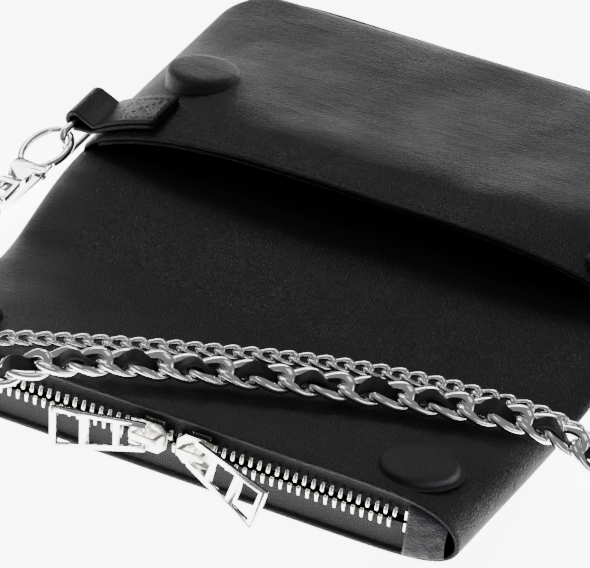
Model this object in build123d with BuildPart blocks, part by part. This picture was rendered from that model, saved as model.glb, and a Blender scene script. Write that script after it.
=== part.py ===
"""A fold-over leather wallet with a zipped pouch, a slip pocket, magnet snaps and a chain strap.

Millimetres, +Z up. The wallet lies opened out on its back: X runs along the zip and the fold,
the zip edge is at -Y and the slip pocket's far edge at +Y. The origin is on the resting face.
"""

import os
from math import atan, cos, degrees, radians, sin, tan

from build123d import *

os.makedirs("parts", exist_ok=True)

# ---------------------------------------------------------------- driving dimensions
half_width = 97.5            # the pouch is 195 wide
far_edge_y = 113.5           # sewn end of the slip pocket
corner_radius = 18.0         # the two far corners
leather = 1.4                # skived leather panel
pouch_height = 5.0           # two panels and the lining, lying flat
seam_margin = 3.0            # turned and sewn edge
fit_gap = 0.3                # between bodies that move past each other

disc_x = 75.0                # magnet snaps, left and right of the middle
pocket_disc_y = 47.4
flap_disc_y = -93.0
pocket_surface_at_disc = 17.5
disc_radius = 11.5
disc_height = 2.2
disc_round = 0.9
magnet_radius = 9.0
magnet_height = 1.3

zip_lip_y = -110.0           # lip above the zip
zip_lip_height = 19.0
zip_centre_y = -111.6
zip_centre_z = 11.3
zip_lean = 16.0              # degrees, the zip face leans back
teeth_half_length = 80.0
tooth_pitch = 2.87
tooth_width = 1.4
row_gap = 1.1                # between the two rows, where a slider's post runs
row_depth = 2.5
tooth_half_thickness = 1.2
tape_half_thickness = 0.4
tape_half_length = 91.0
tape_edge = 6.0              # the zip face's reach above the teeth's centre line
end_tab_width = 13.0

mouth_y = 10.0               # slip pocket mouth

slider_length = 12.0
slider_middle_x = 6.8        # the two sliders meet here
slider_offset = 7.6          # from there to each slider's middle
plate_gap = 0.15             # slider plates to teeth
plate_thickness = 1.2
bail_height = 3.6
pull_length = 28.0
pull_thickness = 1.6

tab_y = 21.0                 # strap tab, middle of its width
tab_width = 16.0
tab_inner_x = 72.0
loop_x = 101.5               # axis of the tab's loop
loop_z = 10.8
loop_outer = 3.6
loop_inner = 2.2
ring_wire = 1.15
ring_front_y = 5.4
ring_rear_y = 31.0

hook_z = 6.8                 # middle of the hook's ring, over the leather's edge
hook_droop = 0.035           # its swivel end hangs down towards the table
hook_wire = 1.3
hook_half_length = 10.5
hook_half_width = 6.5
left_hook_at = (-104.6, 0.9)
right_hook_at = (-108.2, 3.55)    # before it is turned over to the right

laced_diameter = 8.0
fine_diameter = 5.0

# ---------------------------------------------------------------- the fold
# The spine between the two creases stands upright when the wallet is folded, and is as tall as
# the two magnet snaps that then meet, so its length is worked out from their heights.
crease_z = pouch_height / 2
crease_radius = pouch_height / 2
spine_length = 30.0
for _ in range(20):
    lower_crease_y = (pocket_disc_y + flap_disc_y + spine_length) / 2
    upper_crease_y = (pocket_disc_y + flap_disc_y - spine_length) / 2
    flap_start_y = upper_crease_y - crease_radius - fit_gap
    flap_slope = (zip_lip_height - pouch_height) / (flap_start_y - zip_lip_y)
    disc_rise = disc_height / cos(atan(flap_slope))
    flap_disc_top = pouch_height + flap_slope * (flap_start_y - flap_disc_y) + disc_rise
    pocket_disc_top = pocket_surface_at_disc + disc_rise
    spine_length = flap_disc_top + pocket_disc_top + fit_gap - 2 * crease_z

flap_angle = atan(flap_slope)
body_start_y = lower_crease_y + crease_radius + fit_gap
print("creases", round(lower_crease_y, 3), round(upper_crease_y, 3), "spine", round(spine_length, 3))


def finish(part, name):
    """Label a piece and write it as its own node."""
    part.label = name
    export_step(part, f"parts/{name}.step")


def side_name(side):
    """The word for one side: -1 is left, +1 is right."""
    return "left" if side < 0 else "right"


# ---------------------------------------------------------------- pouch and spine
def flat_panel(near_y, far_y, low, high, rounded):
    """A leather panel with a turned, sewn edge along its two sides, and its far end if rounded."""
    with BuildPart() as panel:
        with BuildSketch(Plane.XY.offset(low)):
            with Locations((0, (near_y + far_y) / 2)):
                Rectangle(2 * half_width, far_y - near_y)
        extrude(amount=high - low)
        if rounded:
            fillet(panel.edges().filter_by(Axis.Z).group_by(Axis.Y)[-1], corner_radius)
    return panel.part


def rimmed_panel(near_y, far_y, plate_low, plate_high, seam_z, rounded):
    """The panel's plate with its turned edge, which meets the other panel's at the seam."""
    far_rim = seam_margin if rounded else 0
    low = min(plate_low, seam_z)
    high = max(plate_high, seam_z)
    with BuildPart() as panel:
        add(flat_panel(near_y, far_y, low, high, rounded))
        hollow_low = plate_high if seam_z > plate_high else low
        hollow_high = high if seam_z > plate_high else plate_low
        with BuildSketch(Plane.XY.offset(hollow_low)):
            with Locations((0, (near_y + far_y - far_rim) / 2)):
                Rectangle(2 * (half_width - seam_margin), far_y - far_rim - near_y)
        extrude(amount=hollow_high - hollow_low, mode=Mode.SUBTRACT)
    return panel.part


def lining_sheet(near_y, far_y, trim):
    """The two layers of lining, lying on each other between the panels."""
    clear = 0.15
    with BuildPart() as sheet:
        with BuildSketch(Plane.XY.offset(leather + clear)):
            with Locations((0, (near_y + far_y - trim) / 2)):
                Rectangle(2 * (half_width - seam_margin - clear), far_y - trim - near_y)
        extrude(amount=pouch_height - 2 * (leather + clear))
    return sheet.part


plate_top = pouch_height - leather
finish(rimmed_panel(body_start_y, far_edge_y, 0, leather, crease_z, True), "back_panel")
finish(rimmed_panel(body_start_y, far_edge_y, plate_top, pouch_height, crease_z, True), "front_panel")
finish(lining_sheet(body_start_y, far_edge_y, corner_radius / 2), "pouch_lining")

spine_near_y = upper_crease_y + crease_radius + fit_gap
spine_far_y = lower_crease_y - crease_radius - fit_gap
finish(rimmed_panel(spine_near_y, spine_far_y, 0, leather, crease_z, False), "spine_back_panel")
finish(rimmed_panel(spine_near_y, spine_far_y, plate_top, pouch_height, crease_z, False), "spine_front_panel")
finish(lining_sheet(spine_near_y, spine_far_y, 0), "spine_lining")


def crease(y):
    """The rolled leather of one crease, round its own folding axis."""
    with BuildPart() as roll:
        with BuildSketch(Plane.YZ.offset(-half_width)):
            with Locations((y, crease_z)):
                Circle(crease_radius)
        extrude(amount=2 * half_width)
    return roll.part


finish(crease(lower_crease_y), "lower_crease")
finish(crease(upper_crease_y), "upper_crease")

# ---------------------------------------------------------------- slip pocket
# Each station along Y: crown height above the side seams, and how square its shoulders are.
pocket_stations = [
    (mouth_y, 13.6, 4),
    (28.0, 14.2, 5),
    (50.0, 10.8, 8),
    (80.0, 5.2, 8),
    (far_edge_y, 0.01, 4),
]
station_steps = [-1, -0.93, -0.8, -0.55, 0, 0.55, 0.8, 0.93, 1]
pocket_seam_z = pouch_height + leather


def pocket_height(x, rise, power):
    """Outer face of the slip pocket at one station."""
    return pocket_seam_z + rise * (1 - abs(x / half_width) ** power)


def arch(y, rise, power, inset, drop, thickness):
    """Cross-section of the pocket, as a thin arch that stands on the front panel."""
    reach = half_width - inset
    top = [(s * reach, pocket_height(s * reach, rise, power) - drop) for s in station_steps]
    low = [(x, z - thickness) for x, z in top]
    with BuildSketch(Plane.XZ.offset(-y)) as section:
        with BuildLine():
            Spline(*top)
            Line(top[-1], low[-1])
            Spline(*low)
            Line(low[0], top[0])
        make_face()
    return section.sketch


def pocket_sheet(stations, inset, drop, thickness):
    """A sheet that follows the pocket's face, set back from its outer face by drop."""
    with BuildPart() as sheet:
        for y, rise, power in stations:
            add(arch(y, rise, power, inset, drop, thickness))
        loft()
    return sheet.part


def between(y):
    """A station worked out between its two neighbours."""
    for low, high in zip(pocket_stations, pocket_stations[1:]):
        if low[0] <= y <= high[0]:
            share = (y - low[0]) / (high[0] - low[0])
            return (y,) + tuple(a + (b - a) * share for a, b in zip(low[1:], high[1:]))
    return (y,) + pocket_stations[-1][1:]


with BuildPart() as far_corners:
    with BuildSketch(Plane.XY):
        with Locations((0, (mouth_y + far_edge_y) / 2)):
            Rectangle(2 * half_width, far_edge_y - mouth_y)
    extrude(amount=40)
    fillet(far_corners.edges().filter_by(Axis.Z).group_by(Axis.Y)[-1], corner_radius)

with BuildPart() as pocket_panel:
    add(pocket_sheet(pocket_stations, 0, 0, leather))
    add(far_corners.part, mode=Mode.INTERSECT)
finish(pocket_panel.part, "pocket_panel")

facing_gap = 0.35
facing = pocket_sheet([between(mouth_y + 0.5), between(17.0), between(24.0)], 6.0, leather + facing_gap, 1.0)
finish(facing, "pocket_facing")
lining_stations = [between(y) for y in (25.0, 38.0, 52.0, 66.0, 80.0)]
finish(pocket_sheet(lining_stations, 8.0, leather + facing_gap, 0.6), "pocket_lining")

# ---------------------------------------------------------------- magnet snaps
snap_normal = (0, sin(flap_angle), cos(flap_angle))


def snap_plane(side, y, top_z):
    """Plane of a snap's top face, with its normal pointing out of the leather."""
    return Plane(origin=(side * disc_x, y, top_z), x_dir=(1, 0, 0), z_dir=snap_normal)


def snap_cover(plane, under):
    """A leather-covered puck, with the magnet's seat inside, standing on the leather."""
    skirt = 4.5
    with BuildPart() as cover:
        with BuildSketch(plane):
            Circle(disc_radius)
        extrude(amount=-disc_height - skirt)
        fillet(cover.edges().filter_by(GeomType.CIRCLE).sort_by(Axis.Z)[-1], disc_round)
        with BuildSketch(plane.offset(-disc_height)):
            Circle(magnet_radius + 0.1)
        extrude(amount=magnet_height + 0.1, mode=Mode.SUBTRACT)
        add(under, mode=Mode.SUBTRACT)
    return cover.part.solids().sort_by(Axis.Z)[-1]


def snap_magnet(plane):
    """The magnet in its seat."""
    with BuildPart() as magnet:
        with BuildSketch(plane.offset(-disc_height)):
            Circle(magnet_radius)
        extrude(amount=magnet_height)
    return magnet.part


# ---------------------------------------------------------------- zip end
flap_front_y = -112.9
lower_lip_height = 3.9
with BuildPart() as flap_back_panel:
    with BuildSketch(Plane.XY):
        with Locations((0, (flap_start_y + flap_front_y) / 2)):
            Rectangle(2 * half_width, flap_start_y - flap_front_y)
    extrude(amount=leather)
    with BuildSketch(Plane.XY):
        with Locations((0, flap_front_y - leather / 2)):
            Rectangle(2 * half_width - 6, leather)
    extrude(amount=lower_lip_height)
finish(flap_back_panel.part, "flap_back_panel")

shoulder = 5.0
with BuildPart() as flap_front_panel:
    with BuildSketch(Plane.YZ.offset(-half_width)):
        with BuildLine():
            Polyline(
                (flap_start_y, leather + 0.05),
                (flap_start_y, pouch_height),
                (zip_lip_y, zip_lip_height),
                (zip_lip_y, leather + 0.05),
                close=True,
            )
        make_face()
    extrude(amount=2 * half_width)
    top_edges = flap_front_panel.faces().sort_by(Axis.Z)[-1].edges()
    fillet(top_edges.filter_by(lambda e: abs(e.center().X) > half_width - 1), shoulder / 2)
    with BuildSketch(Plane.YZ.offset(-half_width + leather)):
        with BuildLine():
            Polyline(
                (flap_start_y + 1, 0),
                (flap_start_y + 1, plate_top - flap_slope),
                (zip_lip_y - 1, zip_lip_height + flap_slope - leather / cos(flap_angle)),
                (zip_lip_y - 1, 0),
                close=True,
            )
        make_face()
    extrude(amount=2 * (half_width - leather), mode=Mode.SUBTRACT)
finish(flap_front_panel.part, "flap_front_panel")

lining_thickness = 0.5
lining_clear = 0.4
lining_front_y = -104.0
with BuildPart() as flap_lining:
    with BuildSketch(Plane.YZ.offset(-half_width + seam_margin)):
        with BuildLine():
            Polyline(
                (flap_start_y - 0.5, leather + 0.1),
                (flap_start_y - 0.5, leather + 0.1 + lining_thickness),
                (lining_front_y, leather + 0.1 + lining_thickness),
                (lining_front_y, leather + 0.1),
                close=True,
            )
        make_face()
        roof_start = plate_top - lining_clear + flap_slope * 0.5
        roof_end = roof_start + flap_slope * (flap_start_y - 0.5 - lining_front_y)
        with BuildLine():
            Polyline(
                (flap_start_y - 0.5, roof_start - lining_thickness),
                (flap_start_y - 0.5, roof_start),
                (lining_front_y, roof_end),
                (lining_front_y, roof_end - lining_thickness),
                close=True,
            )
        make_face()
    extrude(amount=2 * (half_width - seam_margin))
finish(flap_lining.part, "flap_lining")

for name, disc_y, top_z, under in (
    ("pocket", pocket_disc_y, pocket_disc_top, pocket_panel.part),
    ("flap", flap_disc_y, flap_disc_top, flap_front_panel.part),
):
    for side in (-1, 1):
        cover = snap_cover(snap_plane(side, disc_y, top_z), under)
        finish(cover, f"{name}_snap_{side_name(side)}")
    with BuildPart() as magnets:
        for side in (-1, 1):
            add(snap_magnet(snap_plane(side, disc_y, top_z)))
    finish(magnets.part, f"{name}_magnets")

# ---------------------------------------------------------------- zip
lean = radians(zip_lean)
zip_normal = Vector(0, -cos(lean), sin(lean))
zip_plane = Plane(origin=(0, zip_centre_y, zip_centre_z), x_dir=(1, 0, 0), z_dir=zip_normal)
row_start = row_gap / 2
row_end = row_start + row_depth


def on_zip(x, across, out):
    """A point on the zip face: along the zip, across it (up is +), and out from it."""
    return zip_plane.from_local_coords(Vector(x, across, out))


def strip(low_x, high_x, low_across, high_across, low_out, high_out):
    """A straight bar that lies on the zip face."""
    with BuildPart() as bar:
        with BuildSketch(zip_plane.offset(low_out)):
            with Locations(((low_x + high_x) / 2, (low_across + high_across) / 2)):
                Rectangle(high_x - low_x, high_across - low_across)
        extrude(amount=high_out - low_out)
    return bar.part


def mirrored_span(sign, near, far):
    """An interval across the zip, above (+1) or below (-1) its centre line."""
    return (near, far) if sign > 0 else (-far, -near)


teeth_count = int(2 * teeth_half_length / tooth_pitch)
bead_start = row_start + 1.35
for row, sign in (("upper", 1), ("lower", -1)):
    low, high = mirrored_span(sign, row_end, tape_edge if sign > 0 else tape_edge + 1.4)
    tape = strip(
        -tape_half_length, tape_half_length, low, high, -tape_half_thickness, tape_half_thickness
    )
    finish(tape, f"zip_tape_{row}")
    bead_low, bead_high = mirrored_span(sign, bead_start, row_end)
    tooth_low, tooth_high = mirrored_span(sign, row_start, bead_start + 0.2)
    shift = tooth_pitch / 2 if sign > 0 else 0
    with BuildPart() as teeth:
        add(strip(-teeth_half_length, teeth_half_length, bead_low, bead_high, -0.9, 0.9))
        with BuildSketch(zip_plane.offset(-tooth_half_thickness)):
            for index in range(teeth_count):
                x = -teeth_half_length + tooth_width / 2 + index * tooth_pitch + shift
                with Locations((x, (tooth_low + tooth_high) / 2)):
                    Rectangle(tooth_width, tooth_high - tooth_low)
        extrude(amount=2 * tooth_half_thickness)
    finish(teeth.part, f"zip_teeth_{row}")

stop_gap = 0.3
with BuildPart() as zip_stops:
    for side in (-1, 1):
        for sign in (-1, 1):
            low, high = mirrored_span(sign, row_start, row_end)
            ends = sorted((side * (teeth_half_length + stop_gap), side * (teeth_half_length + 2.3)))
            add(strip(ends[0], ends[1], low, high, -1.0, 1.0))
finish(zip_stops.part, "zip_stops")

for side in (-1, 1):
    ends = sorted((side * 80.6, side * (80.6 + end_tab_width)))
    with BuildPart() as end_tab:
        add(strip(ends[0], ends[1], -tape_edge - 1.0, tape_edge - 0.6, 1.25, 2.65))
        fillet(end_tab.edges().filter_by(Axis.X), 0.6)
    finish(end_tab.part, f"zip_end_tab_{side_name(side)}")

# ---------------------------------------------------------------- sliders and pulls
plate_low = tooth_half_thickness + plate_gap
plate_high = plate_low + plate_thickness
flange_low = row_end + 0.25
flange_high = flange_low + 1.1
post_half_width = row_gap / 2 - plate_gap
window_low = plate_high - 0.1
window_high = window_low + 2.7
bail_top = plate_high + bail_height
bail_half_width = 1.0


def slider_body(side):
    """One slider: two plates joined by a post, with flanges over the tape and a bail on top."""
    middle = slider_middle_x + side * slider_offset
    nose = -side

    tail = middle - nose * slider_length / 2
    front = middle + nose * slider_length / 2
    with BuildPart() as slider:
        for level in (plate_low, -plate_high):
            with BuildSketch(zip_plane.offset(level)):
                with BuildLine():
                    Polyline(
                        (tail, -3.9),
                        (middle, -flange_high),
                        (front - nose * 2.5, -flange_high),
                        (front, -2.2),
                        (front, 2.2),
                        (front - nose * 2.5, flange_high),
                        (middle, flange_high),
                        (tail, 3.9),
                        close=True,
                    )
                make_face()
            extrude(amount=plate_thickness)
        post_x = middle + nose * (slider_length / 2 - 2.6)
        add(strip(post_x - 1.5, post_x + 1.5, -post_half_width, post_half_width, -plate_high, plate_high))
        for sign in (-1, 1):
            low, high = mirrored_span(sign, flange_low, flange_high)
            for out_low, out_high in ((0.55, plate_high), (-plate_high, -0.55)):
                add(strip(middle - 3, middle + 3, low, high, out_low, out_high))
        add(strip(middle - 4.2, middle + 4.2, -bail_half_width, bail_half_width, plate_high - 0.1, bail_top))
        add(
            strip(middle - 2.7, middle + 2.7, -2, 2, plate_high, window_high + 0.1),
            mode=Mode.SUBTRACT,
        )
    return slider.part


def zip_direction(along, across, out):
    """A unit direction from its parts along the zip, across it and out of it."""
    return (zip_plane.x_dir * along + zip_plane.y_dir * across + zip_plane.z_dir * out).normalized()


# A pull points away from its slider and lies with its flat face to the front. It turns on its
# root bar, which runs through the slider's bail.
pull_lie = {
    -1: (zip_direction(-0.97, -0.13, 0.20), zip_direction(-0.12, -0.98, 0.05)),
    1: (zip_direction(0.93, -0.22, 0.28), zip_direction(-0.24, -0.96, 0.04)),
}


def pull_plane(side):
    """Plane of a pull: x runs from its root bar to its free end, y along its root bar."""
    ahead, bar = pull_lie[side]
    middle = slider_middle_x + side * slider_offset
    root = on_zip(middle + side * 0.6, 0, plate_high + 1.45)
    return Plane(origin=root, x_dir=ahead, z_dir=ahead.cross(bar))


def pull_body(side):
    """A ladder-shaped pull with three windows, wide at its free end."""
    root_half, free_half, rail = 4.2, 6.4, 1.5
    plane = pull_plane(side)

    def half_at(x):
        return root_half + (free_half - root_half) * x / pull_length

    windows = ((1.0, 7.0), (9.0, 16.2), (19.0, pull_length - 2.0))
    with BuildPart() as pull:
        with BuildSketch(plane.offset(-pull_thickness / 2)):
            with BuildLine():
                Polyline(
                    (-0.7, -root_half),
                    (pull_length, -free_half),
                    (pull_length, free_half),
                    (-0.7, root_half),
                    close=True,
                )
            make_face()
            fillet(vertices(), 0.6)
            for start, end in windows:
                with BuildLine():
                    Polyline(
                        (start, rail - half_at(start)),
                        (end, rail - half_at(end)),
                        (end, half_at(end) - rail),
                        (start, half_at(start) - rail),
                        close=True,
                    )
                make_face(mode=Mode.SUBTRACT)
        extrude(amount=pull_thickness)
        with BuildSketch(plane.offset(-pull_thickness)):
            with Locations((-0.4, 0)):
                Rectangle(2.8, 2 * (root_half - rail))
        extrude(amount=2 * pull_thickness, mode=Mode.SUBTRACT)
        bar_plane = Plane(origin=plane.origin, x_dir=plane.x_dir, z_dir=plane.y_dir)
        with BuildSketch(bar_plane.offset(-root_half + 0.3)):
            Circle(0.6)
        extrude(amount=2 * root_half - 0.6)
    return pull.part


for side in (-1, 1):
    finish(slider_body(side), f"slider_{side_name(side)}")
    finish(pull_body(side), f"pull_{side_name(side)}")
    plane = pull_plane(side)
    print("pull", side_name(side), plane.origin, plane.y_dir, plane.x_dir)

# ---------------------------------------------------------------- strap tabs and their rings
tab_thickness = 3.2
with BuildPart() as right_tab:
    with BuildSketch(Plane.XZ.offset(-(tab_y - tab_width / 2))):
        with BuildLine():
            Polyline(
                (loop_x, loop_z - loop_outer),
                (half_width + 0.1, loop_z - loop_outer),
                (half_width - 1, 6.2),
                (tab_inner_x, 13.0),
                (tab_inner_x, 20.0),
                (88.0, 17.4),
                (98.0, 14.4),
                (loop_x, loop_z + loop_outer),
                (loop_x, loop_z - loop_outer),
            )
        make_face()
        with Locations((loop_x, loop_z)):
            Circle(loop_outer)
            Circle(loop_inner, mode=Mode.SUBTRACT)
    extrude(amount=-tab_width)
    add(pocket_panel.part, mode=Mode.SUBTRACT)
tab_solid = max(right_tab.part.solids(), key=lambda s: s.bounding_box().max.Z)
finish(tab_solid, "strap_tab_right")
finish(mirror(tab_solid, about=Plane.YZ), "strap_tab_left")

ring_low_z = ring_wire + 0.05
with BuildPart() as right_ring:
    with BuildLine() as ring_path:
        FilletPolyline(
            (loop_x, ring_front_y, ring_low_z),
            (loop_x, ring_rear_y, ring_low_z),
            (loop_x, ring_rear_y, loop_z),
            (loop_x, ring_front_y, loop_z),
            radius=2.6,
            close=True,
        )
    with BuildSketch(Plane(origin=ring_path.line @ 0, z_dir=ring_path.line % 0)):
        Circle(ring_wire)
    sweep()
finish(right_ring.part, "tab_ring_right")
finish(mirror(right_ring.part, about=Plane.YZ), "tab_ring_left")

# ---------------------------------------------------------------- snap hooks
# A hook is made lying on its own plane: x runs from its ring to its swivel, y is the gate's side.
gate_low = -2.6              # the gate closes the ring between these two
gate_high = 6.6
pin_at = (11.6, 4.5)
pin_radius = 0.6
neck_start = 18.6
neck_radius = 1.7
yoke_start = 20.6
yoke_end = 35.4
yoke_half_width = 3.6
yoke_half_height = 2.8
head_start = 23.5
head_end = 26.4
head_radius = 2.15
eye_at = 32.6
eye_wire = 0.9
eye_radius = 4.1


def hook_ring(plane):
    """The hook's whole oval ring, before the gate is cut out of it."""
    with BuildPart() as ring:
        with BuildLine(plane) as oval:
            EllipticalCenterArc((0, 0), hook_half_length, hook_half_width, start_angle=0, arc_size=360)
        with BuildSketch(Plane(origin=oval.line @ 0, z_dir=oval.line % 0)):
            Circle(hook_wire)
        sweep()
    return ring.part


def oval_half_width(x):
    """Half the oval's width, on its centre line."""
    return hook_half_width * (1 - (x / hook_half_length) ** 2) ** 0.5


def hook_body(plane):
    """The cast hook: ring, flat plate, the pin's two ears, and the neck with its head."""
    with BuildPart() as hook:
        add(hook_ring(plane))
        with BuildSketch(plane.offset(-hook_wire - 1)):
            with Locations(((gate_low + gate_high) / 2, hook_half_width)):
                Rectangle(gate_high - gate_low, 2 * (hook_half_width - 2.6))
        extrude(amount=2 * (hook_wire + 1), mode=Mode.SUBTRACT)
        with BuildSketch(plane.offset(-1.5)):
            with BuildLine():
                Polyline(
                    (8.6, -4.6),
                    (13.0, -5.2),
                    (neck_start, -2.6),
                    (neck_start, 2.6),
                    (14.6, 3.6),
                    (pin_at[0], 2.2),
                    (9.4, 2.2),
                    close=True,
                )
            make_face()
            with Locations(pin_at):
                Circle(2.1)
            with Locations((pin_at[0], 2.6)):
                Rectangle(4.2, 3.8)
        extrude(amount=3.0)
        with BuildSketch(plane.offset(-0.8)):
            with Locations((pin_at[0], pin_at[1] + 0.4)):
                Rectangle(12.0, 5.8)
        extrude(amount=1.6, mode=Mode.SUBTRACT)
        with BuildSketch(plane.offset(-3)):
            with Locations(pin_at):
                Circle(pin_radius)
        extrude(amount=6, mode=Mode.SUBTRACT)
        neck_plane = Plane(origin=plane.origin, x_dir=plane.y_dir, z_dir=plane.x_dir)
        with BuildSketch(neck_plane.offset(neck_start - 0.5)):
            Circle(neck_radius)
        extrude(amount=head_start - neck_start + 1.0)
        with BuildSketch(neck_plane.offset(head_start)):
            Circle(head_radius)
        extrude(amount=head_end - head_start)
    return hook.part


def hook_gate(plane):
    """The gate: a stretch of the ring, an eye round the pin, and a thumb lever."""
    with BuildPart() as gate:
        add(hook_ring(plane))
        with BuildSketch(plane.offset(-hook_wire - 1)):
            with Locations(((gate_low + gate_high) / 2, hook_half_width)):
                Rectangle(gate_high - gate_low - 2 * fit_gap, 2 * (hook_half_width - 2.9))
        extrude(amount=2 * (hook_wire + 1), mode=Mode.INTERSECT)
        lever_end = (29.4, 5.6)
        with BuildSketch(plane.offset(-0.65)):
            with BuildLine():
                Polyline(
                    (gate_high - 1.5, 6.0),
                    (pin_at[0], pin_at[1] + 1.8),
                    lever_end,
                    (lever_end[0], 4.95),
                    (pin_at[0] + 1.5, pin_at[1] - 0.6),
                    (pin_at[0], pin_at[1] - 1.7),
                    (gate_high - 1.5, 4.0),
                    close=True,
                )
            make_face()
            with Locations(pin_at):
                Circle(1.8)
                Circle(pin_radius + 0.05, mode=Mode.SUBTRACT)
        extrude(amount=1.3)
    return gate.part


def gate_pin(plane):
    """The riveted pin that the gate turns on."""
    with BuildPart() as pin:
        with BuildSketch(plane.offset(-1.6)):
            with Locations(pin_at):
                Circle(pin_radius)
        extrude(amount=3.2)
    return pin.part


def hook_yoke(plane):
    """The swivel: a yoke that turns on the hook's neck and holds the strap's end ring."""
    across = Plane(origin=plane.origin, x_dir=plane.x_dir, z_dir=-plane.y_dir)
    axis_plane = Plane(origin=plane.origin, x_dir=plane.y_dir, z_dir=plane.x_dir)
    window_start, window_end = head_start - 0.3, 29.0
    tongue_half_width = 1.6
    with BuildPart() as yoke:
        with BuildSketch(plane.offset(-yoke_half_height)):
            with Locations(((yoke_start + 30.6) / 2, 0)):
                RectangleRounded(30.6 - yoke_start, 2 * yoke_half_width, 1.2)
        extrude(amount=2 * yoke_half_height)
        with BuildSketch(plane.offset(-yoke_half_height + 0.6)):
            with Locations(((30.0 + yoke_end) / 2, 0)):
                Rectangle(yoke_end - 30.0, 2 * tongue_half_width)
        extrude(amount=2 * yoke_half_height - 1.2)
        with BuildSketch(plane.offset(-yoke_half_height)):
            with Locations(((window_start + window_end) / 2, 0)):
                Rectangle(window_end - window_start, 2 * (head_radius + 0.25))
        extrude(amount=2 * yoke_half_height, mode=Mode.SUBTRACT)
        with BuildSketch(axis_plane.offset(yoke_start - 1)):
            Circle(neck_radius + 0.05)
        extrude(amount=window_start - yoke_start + 1.2, mode=Mode.SUBTRACT)
        with BuildSketch(across.offset(-5)):
            with Locations((eye_at, 0)):
                Circle(eye_wire + 0.5)
        extrude(amount=10, mode=Mode.SUBTRACT)
    return yoke.part


def end_ring(plane):
    """The ring through the yoke's tongue that both chains are closed on."""
    with BuildPart() as ring:
        with BuildLine(plane) as path:
            CenterArc((eye_at + eye_radius, 0), eye_radius, 0, 360)
        with BuildSketch(Plane(origin=path.line @ 0, z_dir=path.line % 0)):
            Circle(eye_wire)
        sweep()
    return ring.part


# Both hooks are made on the left; the right one is then turned over to its own side.
hook_lie = {
    -1: (left_hook_at, Vector(0.015, -1, -hook_droop).normalized()),
    1: (right_hook_at, Vector(-0.86, -0.51, -hook_droop).normalized()),
}
hook_pieces = {
    "hook": hook_body,
    "gate": hook_gate,
    "gate_pin": gate_pin,
    "swivel": hook_yoke,
    "end_ring": end_ring,
}
for side in (-1, 1):
    (hook_x, hook_y), ahead = hook_lie[side]
    gate_side = Vector(0, 0, 1).cross(ahead).normalized()
    hook_plane = Plane(origin=(hook_x, hook_y, hook_z), x_dir=ahead, z_dir=ahead.cross(gate_side))
    print("hook", side_name(side), hook_plane.origin, hook_plane.x_dir, hook_plane.y_dir)
    for name, make in hook_pieces.items():
        piece = make(hook_plane)
        if side > 0:
            piece = mirror(piece, about=Plane.YZ)
        finish(piece, f"{name}_{side_name(side)}")

# ---------------------------------------------------------------- chains
laced_route = [
    (-110.5, -43.5, 4.2),
    (-122.0, -54.0, 4.2),
    (-136.0, -70.0, 4.2),
    (-139.0, -92.0, 4.2),
    (-128.0, -113.0, 4.2),
    (-106.0, -129.5, 4.4),
    (-80.0, -132.5, 6.0),
    (-57.0, -122.0, 14.0),
    (-38.0, -113.0, 24.2),
    (-18.0, -101.0, 23.4),
    (8.0, -86.0, 19.6),
    (34.0, -74.5, 17.0),
    (60.0, -65.0, 14.9),
    (84.0, -58.5, 13.8),
    (101.0, -56.0, 12.0),
    (117.0, -57.0, 5.2),
    (136.0, -64.0, 4.2),
    (161.6, -66.0, 4.2),
    (178.0, -49.6, 4.2),
    (178.0, -26.4, 4.2),
    (161.6, -10.0, 4.2),
    (150.0, -10.5, 4.2),
]
fine_route = [
    (-101.5, -43.5, 2.7),
    (-108.0, -55.0, 2.7),
    (-119.0, -68.0, 2.7),
    (-125.0, -86.0, 2.7),
    (-119.0, -105.0, 2.7),
    (-104.0, -117.5, 3.2),
    (-90.0, -122.5, 6.5),
    (-76.0, -118.5, 14.5),
    (-60.0, -110.0, 23.2),
    (-32.0, -91.0, 19.0),
    (-5.0, -75.0, 15.4),
    (22.0, -61.5, 12.8),
    (47.0, -53.0, 11.0),
    (72.0, -48.5, 10.0),
    (95.0, -47.8, 10.0),
    (110.0, -47.5, 3.6),
    (131.0, -52.5, 2.7),
    (154.0, -54.0, 2.7),
    (164.0, -44.0, 2.7),
    (164.0, -30.0, 2.7),
    (154.0, -20.0, 2.7),
    (146.5, -20.0, 2.7),
]


def cord_radii(route):
    """The largest tangent arc at each corner that its two runs allow."""
    points = [Vector(*p) for p in route]
    radii = []
    for before, here, after in zip(points, points[1:], points[2:]):
        run = min((here - before).length, (after - here).length)
        turn = radians((here - before).get_angle(after - here))
        radii.append(0.45 * run / tan(turn / 2))
    return radii


def cord_tube(route, diameter):
    """A plain tube along the route's runs and arcs."""
    with BuildPart() as tube:
        with BuildLine() as path:
            FilletPolyline(*route, radius=cord_radii(route))
        with BuildSketch(Plane(origin=path.line @ 0, z_dir=path.line % 0)):
            Circle(diameter / 2)
        sweep()
    return tube.part, sum(edge.length for edge in path.line.edges())


for name, route, diameter in (
    ("laced_chain", laced_route, laced_diameter),
    ("fine_chain", fine_route, fine_diameter),
):
    tube, length = cord_tube(route, diameter)
    section = 3.141592653589793 * diameter**2 / 4
    print(name, "length", round(length, 1), "volume ratio", round(tube.volume / (section * length), 4))
    print(name, "radii in diameters", [round(r / diameter, 1) for r in cord_radii(route)])
    finish(tube, name)
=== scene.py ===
"""Looks of the chain wallet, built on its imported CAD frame. Sizes are in millimetres unless said."""

import math

import bmesh
import bpy
import numpy as np
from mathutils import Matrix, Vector, noise


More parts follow.
